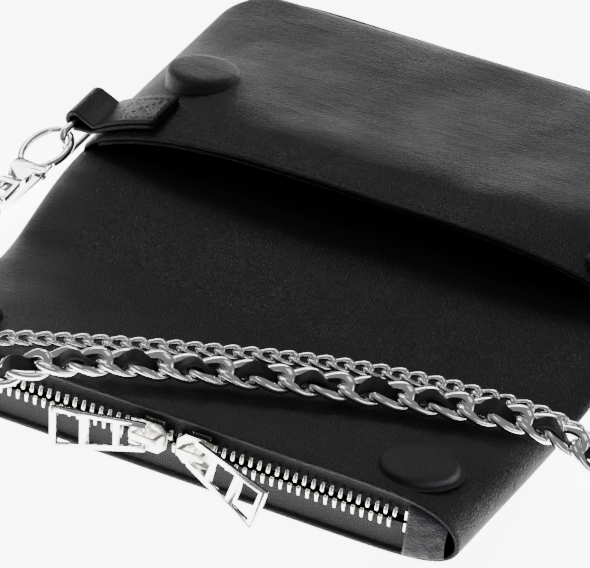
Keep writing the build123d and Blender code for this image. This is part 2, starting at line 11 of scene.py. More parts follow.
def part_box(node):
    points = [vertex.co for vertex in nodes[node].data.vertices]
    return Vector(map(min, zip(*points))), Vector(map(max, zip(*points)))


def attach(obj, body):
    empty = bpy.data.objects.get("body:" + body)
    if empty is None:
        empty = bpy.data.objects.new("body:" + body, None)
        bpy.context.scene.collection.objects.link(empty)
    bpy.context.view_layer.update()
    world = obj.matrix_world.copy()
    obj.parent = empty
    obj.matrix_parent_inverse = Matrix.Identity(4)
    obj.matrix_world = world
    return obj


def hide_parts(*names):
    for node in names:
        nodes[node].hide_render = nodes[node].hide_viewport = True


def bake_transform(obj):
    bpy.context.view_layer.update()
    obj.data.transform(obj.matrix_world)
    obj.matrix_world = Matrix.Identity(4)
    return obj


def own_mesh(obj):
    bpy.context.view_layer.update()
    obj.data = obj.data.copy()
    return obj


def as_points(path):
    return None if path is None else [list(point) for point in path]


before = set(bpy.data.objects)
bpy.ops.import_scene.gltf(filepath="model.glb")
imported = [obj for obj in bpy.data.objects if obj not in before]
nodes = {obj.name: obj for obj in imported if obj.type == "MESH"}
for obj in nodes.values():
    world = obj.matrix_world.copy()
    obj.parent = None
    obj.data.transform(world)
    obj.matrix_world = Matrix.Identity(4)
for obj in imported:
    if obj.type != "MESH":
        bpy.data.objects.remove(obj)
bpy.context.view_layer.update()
MM = 0.001


def box_mm(node):
    """A node's lowest and highest corners in millimetres."""
    low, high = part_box(node)
    return Vector(low) / MM, Vector(high) / MM


# ---------------------------------------------------------------- places taken from the frame
_, body_high = box_mm("back_panel")
flap_low, flap_high = box_mm("flap_front_panel")
lower_crease_low, lower_crease_high = box_mm("lower_crease")
upper_crease_low, upper_crease_high = box_mm("upper_crease")
half_width = body_high.x
far_y = body_high.y
pouch_height = lower_crease_high.z
crease_z = pouch_height / 2
lower_crease_y = (lower_crease_low.y + lower_crease_high.y) / 2
upper_crease_y = (upper_crease_low.y + upper_crease_high.y) / 2
spine_middle_y = (lower_crease_y + upper_crease_y) / 2
flap_start_y = flap_high.y
lip_y = flap_low.y
lip_z = flap_high.z
flap_slope = (lip_z - pouch_height) / (flap_start_y - lip_y)
corner_radius = 18.0


# ---------------------------------------------------------------- mesh helpers
def put(name, mesh, material, smooth=True):
    """A new object with a finished mesh, one material and smooth shading."""
    obj = bpy.data.objects.new(name, mesh)
    bpy.context.scene.collection.objects.link(obj)
    mesh.materials.clear()
    mesh.materials.append(material)
    if smooth:
        mesh.polygons.foreach_set("use_smooth", [True] * len(mesh.polygons))
    return obj


def from_lists(name, verts, faces, material, smooth=True):
    """An object from points in millimetres and faces."""
    mesh = bpy.data.meshes.new(name)
    mesh.from_pydata([(v[0] * MM, v[1] * MM, v[2] * MM) for v in verts], [], faces)
    mesh.update()
    return put(name, mesh, material, smooth)


def rows_to_faces(count, width, around=False, start=0):
    """Quads between rows of points; around joins each row's end to its start."""
    faces = []
    across = width if around else width - 1
    for r in range(count - 1):
        for c in range(across):
            n = (c + 1) % width
            a = start + r * width
            faces.append((a + c, a + n, a + width + n, a + width + c))
    return faces


def surface(name, rows, material, around=False, cap_end=False):
    """A surface through rows of points."""
    verts = [p for row in rows for p in row]
    width = len(rows[0])
    faces = rows_to_faces(len(rows), width, around)
    if cap_end:
        last = (len(rows) - 1) * width
        faces.append(tuple(range(last, last + width)))
    return from_lists(name, verts, faces, material)


def recalc(obj):
    """Normals point outwards."""
    bm = bmesh.new()
    bm.from_mesh(obj.data)
    bmesh.ops.recalc_face_normals(bm, faces=bm.faces)
    bm.to_mesh(obj.data)
    bm.free()


def modifier(obj, kind, **values):
    """A modifier with its settings."""
    added = obj.modifiers.new(kind.lower(), kind)
    for key, value in values.items():
        setattr(added, key, value)
    return added


def applied(obj):
    """obj with its modifiers made part of its mesh."""
    bpy.context.view_layer.update()
    graph = bpy.context.evaluated_depsgraph_get()
    mesh = bpy.data.meshes.new_from_object(obj.evaluated_get(graph))
    obj.modifiers.clear()
    obj.data = mesh
    return obj


def smoothstep(low, high, value):
    """0 below low, 1 above high, smooth between."""
    t = min(max((value - low) / (high - low), 0), 1)
    return t * t * (3 - 2 * t)


def wobble(x, y, size, seed=0.0):
    """A slow, smooth unevenness between about -1 and 1."""
    return noise.noise(Vector((x / size, y / size, seed)))


# ---------------------------------------------------------------- materials
def material(name, **sockets):
    """A principled material with constants on its sockets, and its node tree."""
    made = bpy.data.materials.new(name)
    made.use_nodes = True
    tree = made.node_tree
    shader = tree.nodes["Principled BSDF"]
    for key, value in sockets.items():
        shader.inputs[key.replace("_", " ")].default_value = value
    return made, tree, shader


def coords(tree, scale=(1, 1, 1)):
    """Object coordinates in millimetres, times scale."""
    place = tree.nodes.new("ShaderNodeTexCoord")
    mapping = tree.nodes.new("ShaderNodeMapping")
    mapping.inputs["Scale"].default_value = [1000 * s for s in scale]
    tree.links.new(place.outputs["Object"], mapping.inputs["Vector"])
    return mapping.outputs["Vector"]


def texture(tree, kind, vector, output, **values):
    """A texture node on a vector."""
    node = tree.nodes.new(kind)
    for key, value in values.items():
        if key in node.inputs:
            node.inputs[key].default_value = value
        else:
            setattr(node, key, value)
    tree.links.new(vector, node.inputs["Vector"])
    return node.outputs[output]


def math_node(tree, operation, first, second):
    """A math node on sockets or numbers."""
    node = tree.nodes.new("ShaderNodeMath")
    node.operation = operation
    for socket, value in zip(node.inputs, (first, second)):
        if isinstance(value, (int, float)):
            socket.default_value = value
        else:
            tree.links.new(value, socket)
    return node.outputs[0]


def ramp(tree, value, low, high, low_out, high_out):
    """A value mapped from one interval to another."""
    node = tree.nodes.new("ShaderNodeMapRange")
    tree.links.new(value, node.inputs["Value"])
    for key, number in (("From Min", low), ("From Max", high), ("To Min", low_out), ("To Max", high_out)):
        node.inputs[key].default_value = number
    return node.outputs["Result"]


def bump(tree, shader, heights):
    """Stacked bumps; heights are (height socket, depth in millimetres)."""
    last = None
    for height, depth in heights:
        node = tree.nodes.new("ShaderNodeBump")
        node.inputs["Strength"].default_value = 1.0
        node.inputs["Distance"].default_value = depth * MM
        tree.links.new(height, node.inputs["Height"])
        if last is not None:
            tree.links.new(last, node.inputs["Normal"])
        last = node.outputs["Normal"]
    tree.links.new(last, shader.inputs["Normal"])


def mixed_colour(tree, shader, factor, first, second):
    """The base colour, mixed between two."""
    node = tree.nodes.new("ShaderNodeMix")
    node.data_type = "RGBA"
    tree.links.new(factor, node.inputs[0])
    node.inputs[6].default_value = (*first, 1)
    node.inputs[7].default_value = (*second, 1)
    tree.links.new(node.outputs[2], shader.inputs["Base Color"])


def leather(name, dark, light, rough, grain=1.0, depth=0.16):
    """Pebbled leather: grain cells, creases between them, and slow changes of colour and shine."""
    made, tree, shader = material(name, Specular_IOR_Level=0.18)
    place = coords(tree)
    warp = tree.nodes.new("ShaderNodeTexNoise")
    warp.inputs["Scale"].default_value = 0.55
    tree.links.new(place, warp.inputs["Vector"])
    shift = tree.nodes.new("ShaderNodeVectorMath")
    shift.operation = "SCALE"
    shift.inputs["Scale"].default_value = 1.3
    tree.links.new(warp.outputs["Color"], shift.inputs[0])
    total = tree.nodes.new("ShaderNodeVectorMath")
    tree.links.new(place, total.inputs[0])
    tree.links.new(shift.outputs[0], total.inputs[1])
    cells = texture(
        tree, "ShaderNodeTexVoronoi", total.outputs[0], "Distance",
        feature="DISTANCE_TO_EDGE", Scale=1.05 / grain,
    )
    pebble = ramp(tree, cells, 0.0, 0.32, 0.0, 1.0)
    fine = texture(tree, "ShaderNodeTexNoise", place, "Fac", Scale=2.6, Detail=4.0)
    slow = texture(tree, "ShaderNodeTexNoise", place, "Fac", Scale=0.045, Detail=3.0)
    fold = texture(tree, "ShaderNodeTexNoise", coords(tree, (0.4, 1.6, 1.6)), "Fac", Scale=0.16, Detail=3.0)
    bump(tree, shader, [(slow, 0.7), (fold, 0.4), (pebble, depth), (fine, 0.04)])
    tint = math_node(tree, "MULTIPLY", pebble, ramp(tree, slow, 0.35, 0.65, 0.55, 1.0))
    mixed_colour(tree, shader, tint, dark, light)
    polish = math_node(tree, "ADD", ramp(tree, slow, 0.3, 0.7, rough - 0.05, rough + 0.07),
                       ramp(tree, pebble, 0, 1, 0.10, 0.0))
    tree.links.new(polish, shader.inputs["Roughness"])
    return made


def woven(name, dark, light, pitch, depth):
    """A plain weave."""
    made, tree, shader = material(name, Roughness=0.85, Specular_IOR_Level=0.2)
    shader.inputs["Sheen Weight"].default_value = 0.15
    place = coords(tree)
    thread_scale = 0.314 / pitch
    across = texture(
        tree, "ShaderNodeTexWave", place, "Fac", bands_direction="X", Scale=thread_scale, Distortion=0.6
    )
    along = texture(
        tree, "ShaderNodeTexWave", place, "Fac", bands_direction="Z", Scale=thread_scale, Distortion=0.6
    )
    weave = math_node(tree, "MULTIPLY", across, along)
    mixed_colour(tree, shader, weave, dark, light)
    bump(tree, shader, [(weave, depth)])
    return made


def polished(name, colour, rough, grime=0.5):
    """Plated metal with faint polishing marks and slightly dull patches."""
    made, tree, shader = material(name, Metallic=1.0, Base_Color=(*colour, 1))
    place = coords(tree)
    marks = texture(tree, "ShaderNodeTexNoise", place, "Fac", Scale=0.9, Detail=5.0)
    scratches = texture(tree, "ShaderNodeTexNoise", coords(tree, (0.3, 6, 0.3)), "Fac", Scale=1.1, Detail=2.0)
    tree.links.new(ramp(tree, marks, 0.3, 0.75, rough, rough + 0.10 * grime), shader.inputs["Roughness"])
    bump(tree, shader, [(marks, 0.02), (scratches, 0.004)])
    return made


black_leather = leather("black_leather", (0.0035, 0.0037, 0.0046), (0.0100, 0.0106, 0.0130), 0.47, 1.0, 0.13)
snap_leather = leather("snap_leather", (0.008, 0.0084, 0.0095), (0.020, 0.0208, 0.023), 0.50, 0.8, 0.08)
tab_leather = leather("tab_leather", (0.004, 0.0042, 0.005), (0.0115, 0.012, 0.0142), 0.40, 0.9, 0.10)
lace_leather = leather("lace_leather", (0.004, 0.004, 0.0045), (0.012, 0.012, 0.013), 0.55, 0.45, 0.10)
lining_cloth = woven("lining_cloth", (0.004, 0.004, 0.005), (0.012, 0.012, 0.014), 0.5, 0.08)
tape_cloth = woven("tape_cloth", (0.0035, 0.0035, 0.004), (0.017, 0.017, 0.019), 0.55, 0.16)
thread = woven("thread", (0.004, 0.004, 0.005), (0.012, 0.012, 0.014), 0.25, 0.05)
nickel = polished("nickel", (0.90, 0.89, 0.875), 0.07)
zip_metal = polished("zip_metal", (0.86, 0.845, 0.80), 0.16)
chain_metal = polished("chain_metal", (0.89, 0.885, 0.88), 0.09)
magnet_metal = polished("magnet_metal", (0.55, 0.55, 0.56), 0.3)

# ---------------------------------------------------------------- body shell
section_count = 72


def width_at(y):
    """Half the pouch's width, less at the two rounded far corners."""
    into = y - (far_y - corner_radius)
    if into <= 0:
        return half_width
    return half_width - corner_radius + math.sqrt(max(corner_radius**2 - into**2, 0))


def rise_at(y):
    """Height of the top leather on the middle line."""
    past = flap_start_y - y
    return pouch_height + flap_slope * 0.5 * (past + math.sqrt(past**2 + 60)) * smoothstep(-12, 14, past)


def seam_at(y):
    """Height of the side seam, which climbs towards the zip."""
    past = max(flap_start_y - y, 0) / (flap_start_y - lip_y)
    return crease_z + 5.6 * past**1.4


def drawn_in(y):
    """How far the left edge is pulled in where the leather puckers between the pocket and the zip."""
    return 8.5 * (1 - smoothstep(-62, 10, y)) * smoothstep(lip_y, lip_y + 52, y)


def loop_at(y):
    """One closed cross-section of the shell: over the top from left to right, then back below."""
    width = width_at(y)
    seam = seam_at(y)
    open_share = smoothstep(0, 1, (flap_start_y - y) / (flap_start_y - lip_y))
    power = 26 - 15 * open_share
    lean = 0.21 * (1 - smoothstep(lip_y, lip_y + 26, y))
    points = []
    for side in (1, -1):
        for i in range(section_count):
            share = -math.cos(math.pi * i / section_count) * side
            share = math.copysign(abs(share) ** 0.75, share)
            x = width * share * (1 - drawn_in(y) / width if share < 0 else 1)
            fullness = max(1 - abs(share) ** power, 0)
            if side > 0:
                z = seam + (rise_at(y) - seam) * fullness**0.55
                dip = math.exp(-((y - lower_crease_y) / 3.0) ** 2)
                dip += math.exp(-((y - upper_crease_y) / 3.0) ** 2)
                z += (0.35 * wobble(x, y, 38) + 0.16 * wobble(x, y, 13, 3) - 0.3 * dip) * fullness
            else:
                z = seam - (seam - 0.05) * fullness**0.5
            points.append((x, y - lean * (lip_z - z), z))
    return points


def spaced(low, high, count):
    """Evenly spaced values."""
    return [low + (high - low) * i / (count - 1) for i in range(count)]


pouch_rows = [loop_at(y) for y in spaced(spine_middle_y, far_y - corner_radius, 56)]
pouch_rows += [loop_at(far_y - corner_radius + corner_radius * math.sin(a)) for a in spaced(0.08, 1.5, 14)]
last = pouch_rows[-1]
for reach, share in ((0.35, 0.7), (0.55, 0.3), (0.6, 0.05)):
    pouch_rows.append(
        [(x * (1 - 0.002), min(y + reach, far_y), crease_z + (z - crease_z) * share) for x, y, z in last]
    )
pouch_shell = surface("pouch_shell", pouch_rows, black_leather, around=True, cap_end=True)
recalc(pouch_shell)
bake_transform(pouch_shell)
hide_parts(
    "back_panel", "front_panel", "lower_crease", "spine_back_panel", "spine_front_panel",
    "spine_lining",
)

zip_rows = [loop_at(y) for y in spaced(spine_middle_y, lip_y, 64)]
mouth = zip_rows[-1]
lip_edge = 1.5
middle_z = seam_at(lip_y)


def inward(point, amount, forward):
    """A mouth point moved towards the mouth's middle, and forwards out of the zip face."""
    x, y, z = point
    away = Vector((max(abs(x) - 82, 0) * math.copysign(1.0, x) * 0.8, z - middle_z))
    step = away.normalized() * amount if away.length > 0.01 else Vector((0, 0))
    return (x - step.x, y - forward, z - step.y)


for amount, forward in ((0.25, 0.45), (0.75, 0.6), (1.25, 0.45), (lip_edge, 0.0), (lip_edge, -3.0)):
    zip_rows.append([inward(p, amount, forward) for p in mouth])
zip_shell = surface("zip_shell", zip_rows, black_leather, around=True)
recalc(zip_shell)
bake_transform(zip_shell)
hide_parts("flap_back_panel", "flap_front_panel", "flap_lining", "upper_crease")

# ---------------------------------------------------------------- slip pocket
pocket_low, _ = box_mm("pocket_panel")
mouth_y = pocket_low.y
pocket_stations = [
    (mouth_y, 13.6, 4),
    (28.0, 14.2, 5),
    (50.0, 10.8, 8),
    (80.0, 5.2, 8),
    (far_y, 0.2, 6),
]


def pocket_values(y):
    """Crown height and shoulder power along the pocket, smooth between its stations."""
    ys = [s[0] for s in pocket_stations]
    k = min(max(sum(1 for v in ys if v <= y) - 1, 0), len(ys) - 2)
    before = pocket_stations[max(k - 1, 0)]
    a, b = pocket_stations[k], pocket_stations[k + 1]
    after = pocket_stations[min(k + 2, len(ys) - 1)]
    t = min(max((y - a[0]) / (b[0] - a[0]), 0), 1)
    result = []
    for j in (1, 2):
        slope_a = (b[j] - before[j]) / max(b[0] - before[0], 1) * (b[0] - a[0])
        slope_b = (after[j] - a[j]) / max(after[0] - a[0], 1) * (b[0] - a[0])
        result.append(
            (2 * t**3 - 3 * t**2 + 1) * a[j]
            + (t**3 - 2 * t**2 + t) * slope_a
            + (3 * t**2 - 2 * t**3) * b[j]
            + (t**3 - t**2) * slope_b
        )
    return result


def pocket_z(x, y):
    """Outer face of the slip pocket."""
    rise, power = pocket_values(y)
    share = min(abs(x) / half_width, 1)
    z = 6.4 + rise * (1 - share**power)
    z += (0.5 * wobble(x, y, 34, 7) + 0.2 * wobble(x, y, 14, 9)) * (1 - share**8)
    return z


def pocket_row(y, drop, ahead=0.0, inset=0.0):
    """One row of the pocket's surface from the left seam to the right."""
    width = width_at(y) - inset
    row = []
    for i in range(2 * section_count + 1):
        share = -math.cos(math.pi * i / (2 * section_count))
        share = math.copysign(abs(share) ** 0.8, share)
        x = width * share
        side_fall = max(1 - abs(share) ** 60, 0) ** 0.5
        far_fall = max(1 - ((y - mouth_y) / (far_y - mouth_y)) ** 50, 0) ** 0.5
        z = 3.0 + (pocket_z(x, y) - 3.0) * side_fall * far_fall - drop
        row.append((x, y - ahead, max(z, 2.9)))
    return row


hem = 1.5
pocket_rows = [pocket_row(y, hem, inset=1.5) for y in spaced(60, mouth_y + 1.2, 14)]
for drop, ahead in ((1.45, 0.1), (1.15, 0.5), (0.7, 0.6), (0.25, 0.45), (0.02, 0.0)):
    pocket_rows.append(pocket_row(mouth_y + 0.6, drop, ahead, 0.6))
pocket_rows += [pocket_row(y, 0) for y in spaced(mouth_y + 1.4, far_y - corner_radius, 44)]
pocket_rows += [
    pocket_row(far_y - corner_radius + corner_radius * math.sin(a), 0) for a in spaced(0.08, 1.555, 22)
]
pocket_skin = surface("pocket_skin", pocket_rows, black_leather)
recalc(pocket_skin)
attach(pocket_skin, "pouch")
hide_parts("pocket_panel")


# ---------------------------------------------------------------- snaps
def puck(name, node, body, top_at, normal):
    """A leather-covered snap: a low rounded disc with the leather drawn in round its foot."""
    foot_radius = 11.9
    profile = [
        (0.0, 0.12), (4.0, 0.1), (7.5, 0.04), (9.4, -0.06), (10.4, -0.28), (11.0, -0.65), (11.35, -1.15),
        (11.5, -1.7), (11.65, -2.15), (12.0, -2.42), (12.7, -2.52), (13.4, -2.6),
    ]
    turn = 96
    rows = []
    axis = Vector(normal).normalized()
    side = Vector((1, 0, 0))
    ahead = axis.cross(side)
    for radius, out in profile:
        row = []
        for k in range(turn):
            angle = 2 * math.pi * k / turn
            r = radius * (1 + 0.004 * math.sin(3 * angle + 1))
            p = Vector(top_at) + side * (r * math.cos(angle)) + ahead * (r * math.sin(angle)) + axis * out
            if radius > foot_radius:
                p.z = min(p.z, ground(body, p.x, p.y) + 0.12 - 0.5 * (radius - foot_radius))
            row.append(tuple(p))
        rows.append(row)
    made = surface(name, rows, snap_leather, around=True)
    recalc(made)
    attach(made, body)
    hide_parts(node)


def ground(body, x, y):
    """Height of the leather that a snap stands on."""
    return pocket_z(x, y) if body == "pouch" else rise_at(y)


snap_normal = (0, math.sin(math.atan(flap_slope)), math.cos(math.atan(flap_slope)))
for word, body in (("pocket", "pouch"), ("flap", "zip_end")):
    for side in ("left", "right"):
        low, high = box_mm(f"{word}_magnets")
        cover_low, cover_high = box_mm(f"{word}_snap_{side}")
        centre = (cover_low + cover_high) / 2
        top_y = (low.y + high.y) / 2
        tilt = math.atan(flap_slope)
        top_z = high.z + (2.2 - 1.3) / math.cos(tilt) - 9.0 * math.sin(tilt)
        puck(f"{word}_puck_{side}", f"{word}_snap_{side}", body, (centre.x, top_y, top_z), snap_normal)


# ---------------------------------------------------------------- stitching
def stitches(name, path, body, pitch=3.0, length=2.3, radius=0.17, sink=0.2):
    """Short threads laid along a path of (point, outward normal) pairs."""
    verts, faces = [], []
    ring = 8
    spots = [Vector(p) for p, _ in path]
    normals = [Vector(n).normalized() for _, n in path]
    runs = [0.0]
    for a, b in zip(spots, spots[1:]):
        runs.append(runs[-1] + (b - a).length)

    def at(s):
        s = min(max(s, 0), runs[-1])
        k = 0
        while k < len(runs) - 2 and runs[k + 1] < s:
            k += 1
        t = (s - runs[k]) / max(runs[k + 1] - runs[k], 1e-6)
        return spots[k].lerp(spots[k + 1], t), normals[k].lerp(normals[k + 1], t).normalized()

    for index in range(int(runs[-1] / pitch)):
        middle = (index + 0.5) * pitch
        start = len(verts)
        stations = (
            (-0.5, 0.35, -0.25), (-0.4, 0.9, -0.05), (-0.15, 1.0, 0.0),
            (0.15, 1.0, 0.0), (0.4, 0.9, -0.05), (0.5, 0.35, -0.25),
        )
        for along, fat, lift in stations:
            centre, normal = at(middle + along * length)
            ahead = (at(middle + 0.5)[0] - at(middle - 0.5)[0]).normalized()
            side = normal.cross(ahead).normalized()
            for k in range(ring):
                angle = 2 * math.pi * k / ring
                offset = side * (math.cos(angle) * radius * fat) + normal * (math.sin(angle) * radius * fat)
                verts.append(tuple(centre + offset + normal * (lift - sink + radius)))
        faces += rows_to_faces(len(stations), ring, True, start)
        end = start + (len(stations) - 1) * ring
        faces.append(tuple(range(start, start + ring)))
        faces.append(tuple(range(end + ring - 1, end - 1, -1)))
    made = from_lists(name, verts, faces, thread)
    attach(made, body)
    return made


hem_line = [((x, mouth_y + 2.4, pocket_z(x, mouth_y + 2.4)), (0, 0, 1)) for x in spaced(-92, 92, 90)]
stitches("hem_stitching", hem_line, "pouch")


def top_z(x, y):
    """Height of the top leather of the zip end."""
    share = min(abs(x) / half_width, 0.999)
    open_share = smoothstep(0, 1, (flap_start_y - y) / (flap_start_y - lip_y))
    power = 26 - 15 * open_share
    seam = seam_at(y)
    fullness = 1 - share**power
    unevenness = (0.35 * wobble(x, y, 38) + 0.16 * wobble(x, y, 13, 3)) * fullness
    return seam + (rise_at(y) - seam) * fullness**0.55 + unevenness


lip_line = [((x, lip_y + 1.5, top_z(x, lip_y + 1.8)), snap_normal) for x in spaced(-90, 90, 110)]
stitches("lip_stitching", lip_line, "zip_end")

# ---------------------------------------------------------------- zip
teeth_low, teeth_high = box_mm("zip_teeth_upper")
lower_low, lower_high = box_mm("zip_teeth_lower")
lean = math.radians(16)
zip_x = Vector((1, 0, 0))
zip_up = Vector((0, math.sin(lean), math.cos(lean)))
zip_out = Vector((0, -math.cos(lean), math.sin(lean)))
zip_centre = Vector((0, (teeth_low.y + teeth_high.y + lower_low.y + lower_high.y) / 4,
                     (teeth_low.z + teeth_high.z + lower_low.z + lower_high.z) / 4))
tooth_pitch = 2.87
teeth_reach = teeth_high.x


def on_zip(x, across, out):
    """A point on the zip face."""
    return zip_centre + zip_x * x + zip_up * across + zip_out * out


def tooth(verts, faces, x, sign):
    """One tooth: a narrow peg, thicker at the head that meets the other row."""
    profile = [(0.25, 0.42, 0.85), (0.5, 0.62, 1.2), (1.0, 0.68, 1.32), (1.5, 0.62, 1.28), (2.2, 0.6, 1.1),
               (3.0, 0.58, 0.95), (3.25, 0.45, 0.75)]
    ring = 8
    start = len(verts)
    for across, half, thick in profile:
        for k in range(ring):
            angle = 2 * math.pi * (k + 0.5) / ring
            c, s = math.cos(angle), math.sin(angle)
            dx = half * math.copysign(abs(c) ** 0.55, c)
            dz = thick * math.copysign(abs(s) ** 0.55, s)
            verts.append(tuple(on_zip(x + dx, sign * across, dz)))
    faces += rows_to_faces(len(profile), ring, True, start)
    end = start + (len(profile) - 1) * ring
    faces.append(tuple(range(start, start + ring)))
    faces.append(tuple(range(end, end + ring)))


for row, sign in (("upper", 1), ("lower", -1)):
    verts, faces = [], []
    shift = tooth_pitch / 2 if sign > 0 else 0
    for index in range(int(2 * teeth_reach / tooth_pitch)):
        tooth(verts, faces, -teeth_reach + 0.7 + index * tooth_pitch + shift, sign)
    row_of_teeth = from_lists(f"teeth_{row}", verts, faces, zip_metal)
    recalc(row_of_teeth)
    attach(row_of_teeth, "zip_end")
    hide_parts(f"zip_teeth_{row}")


def mouth_point(x, upper):
    """A point of the lip's inner edge."""
    half = mouth[:section_count] if upper else mouth[section_count:]
    half = sorted(half)
    xs = [p[0] for p in half]
    y = float(np.interp(x, xs, [p[1] for p in half]))
    z = float(np.interp(x, xs, [p[2] for p in half]))
    return Vector((x, y, z))


for row, sign in (("upper", 1), ("lower", -1)):
    rows = []
    edge = lip_edge - 0.2
    for x in spaced(-92, 92, 150):
        inner = on_zip(x, sign * 1.2, -0.25)
        outer = mouth_point(x, sign > 0) + Vector((0, 1.0, -sign * edge))
        column = []
        for k in range(9):
            t = k / 8
            p = inner.lerp(outer, t) - zip_out * (0.7 * math.sin(math.pi * t) * (1 if sign > 0 else 0.4))
            column.append(tuple(p))
        rows.append(column)
    tape = surface(f"tape_{row}", rows, tape_cloth)
    recalc(tape)
    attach(tape, "zip_end")
    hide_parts(f"zip_tape_{row}")

for side, word in ((-1, "left"), (1, "right")):
    low, high = box_mm(f"zip_end_tab_{word}")
    rows = []
    for u in spaced(0, 1, 26):
        column = []
        for v in spaced(-1, 1, 26):
            x = low.x + (high.x - low.x) * u if side > 0 else high.x - (high.x - low.x) * u
            top = mouth_point(x, True).z - 1.3
            bottom = mouth_point(x, False).z + 1.0
            z = bottom + (top - bottom) * (v + 1) / 2
            bulge = 1.9 * (1 - abs(v) ** 4) ** 0.5 * min(1, (u * 9) ** 0.5) * (1 - 0.55 * u**3)
            bulge += 0.7 * wobble(x * 1.3, z, 3.4, 5) * u
            base_y = zip_centre.y - (zip_centre.z - z) * math.tan(lean)
            column.append((x, base_y - 0.3 - bulge, z))
        rows.append(column)
    end_tab = surface(f"end_tab_{word}", rows, tab_leather)
    recalc(end_tab)
    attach(end_tab, "zip_end")
    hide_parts(f"zip_end_tab_{word}")


# ---------------------------------------------------------------- metal pieces from the frame
def softened(node, body, finish, width, segments=3):
    """The node's own shape with its sharp edges rounded, as on a cast or stamped piece."""
    mesh = nodes[node].data.copy()
    bm = bmesh.new()
    bm.from_mesh(mesh)
    bmesh.ops.remove_doubles(bm, verts=bm.verts, dist=1e-6)
    bmesh.ops.dissolve_limit(
        bm, angle_limit=math.radians(0.8), verts=bm.verts, edges=bm.edges, use_dissolve_boundaries=False
    )
    bm.to_mesh(mesh)
    bm.free()
    made = put(f"{node}_cast", mesh, finish)
    modifier(
        made, "BEVEL", width=width * MM, segments=segments, limit_method="ANGLE",
        angle_limit=math.radians(38), harden_normals=True, use_clamp_overlap=True,
    )
    applied(made)
    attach(made, body)
    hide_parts(node)
    return made


for word in ("left", "right"):
    softened(f"hook_{word}", f"hook_{word}", nickel, 0.45)
    softened(f"gate_{word}", f"gate_{word}", nickel, 0.22)
    softened(f"swivel_{word}", f"swivel_{word}", nickel, 0.4)
    softened(f"slider_{word}", f"slider_{word}", zip_metal, 0.5)
    softened(f"pull_{word}", f"pull_{word}", nickel, 0.28)

# ---------------------------------------------------------------- strap tabs
tab_low, tab_high = box_mm("strap_tab_right")
ring_low, ring_high = box_mm("tab_ring_right")
loop_x = (ring_low.x + ring_high.x) / 2
loop_z = ring_high.z - 1.15
tab_y = (tab_low.y + tab_high.y) / 2
tab_half = (tab_high.y - tab_low.y) / 2
tab_inner_x = tab_low.x + 0.6


def tab_path():
    """Middle line of the right tab's strap: out along the pocket, round the ring, and back on top."""
    lower = [(x, pocket_z(x, tab_y) + 0.9) for x in spaced(tab_inner_x + 0.8, half_width - 2.0, 12)]
    turn = []
    for angle in spaced(-0.62 * math.pi, 0.55 * math.pi, 16):
        turn.append((loop_x + 2.9 * math.cos(angle), loop_z + 2.9 * math.sin(angle)))
    upper = [(x, pocket_z(min(x, 96), tab_y) + 2.75) for x in spaced(half_width - 2.5, tab_inner_x + 0.8, 14)]
    return lower, turn, upper


def strap(name, path, side):
    """A leather strap of even thickness along a path in XZ, across the tab's width."""
    thick = 0.75
    rows = []
    line = [Vector((x, 0, z)) for x, z in path]
    for index, p in enumerate(line):
        a = line[max(index - 1, 0)]
        b = line[min(index + 1, len(line) - 1)]
        ahead = (b - a).normalized()
        normal = Vector((-ahead.z, 0, ahead.x))
        ring = []
        outline = []
        for v in spaced(-1, 1, 15):
            outline.append((v * (tab_half - 0.5), 1))
        for angle in spaced(0.5 * math.pi, -0.5 * math.pi, 7)[1:-1]:
            outline.append((tab_half - 0.5 + 0.5 * math.cos(angle), math.sin(angle)))
        for v in spaced(1, -1, 15):
            outline.append((v * (tab_half - 0.5), -1))
        for angle in spaced(-0.5 * math.pi, -1.5 * math.pi, 7)[1:-1]:
            outline.append((-(tab_half - 0.5) + 0.5 * math.cos(angle), math.sin(angle)))
        for y, n in outline:
            q = p + normal * (n * thick)
            ring.append((q.x * side, tab_y + y, q.z))
        rows.append(ring)
    verts = [p for r in rows for p in r]
    width = len(rows[0])
    faces = rows_to_faces(len(rows), width, True)
    faces.append(tuple(range(width)))
    faces.append(tuple(range((len(rows) - 1) * width, len(rows) * width)))
    made = from_lists(name, verts, faces, tab_leather)
    recalc(made)
    return made


def tab_top(x, y):
    """Top face of a tab."""
    return pocket_z(min(abs(x), 96), tab_y) + 3.5


for side, word in ((1, "right"), (-1, "left")):
    lower, turn, upper = tab_path()
    tab = strap(f"tab_{word}", lower + turn + upper, side)
    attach(tab, "pouch")
    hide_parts(f"strap_tab_{word}")
    near, far = tab_inner_x + 2.4, tab_inner_x + 15.5
    low_y, high_y = tab_y - tab_half + 2.2, tab_y + tab_half - 2.2
    lines = [
        [(near, low_y), (far, low_y)], [(near, high_y), (far, high_y)], [(near, low_y), (near, high_y)],
        [(far, low_y), (far, high_y)], [(near, low_y), (far, high_y)], [(near, high_y), (far, low_y)],
    ]
    for index, ((x0, y0), (x1, y1)) in enumerate(lines):
        path = []
        for t in spaced(0, 1, 8):
            x, y = x0 + (x1 - x0) * t, y0 + (y1 - y0) * t
            path.append(((side * x, y, tab_top(x, y)), (0, 0, 1)))
        stitches(f"tab_{word}_stitching_{index}", path, "pouch", pitch=2.2, length=1.8, radius=0.18)

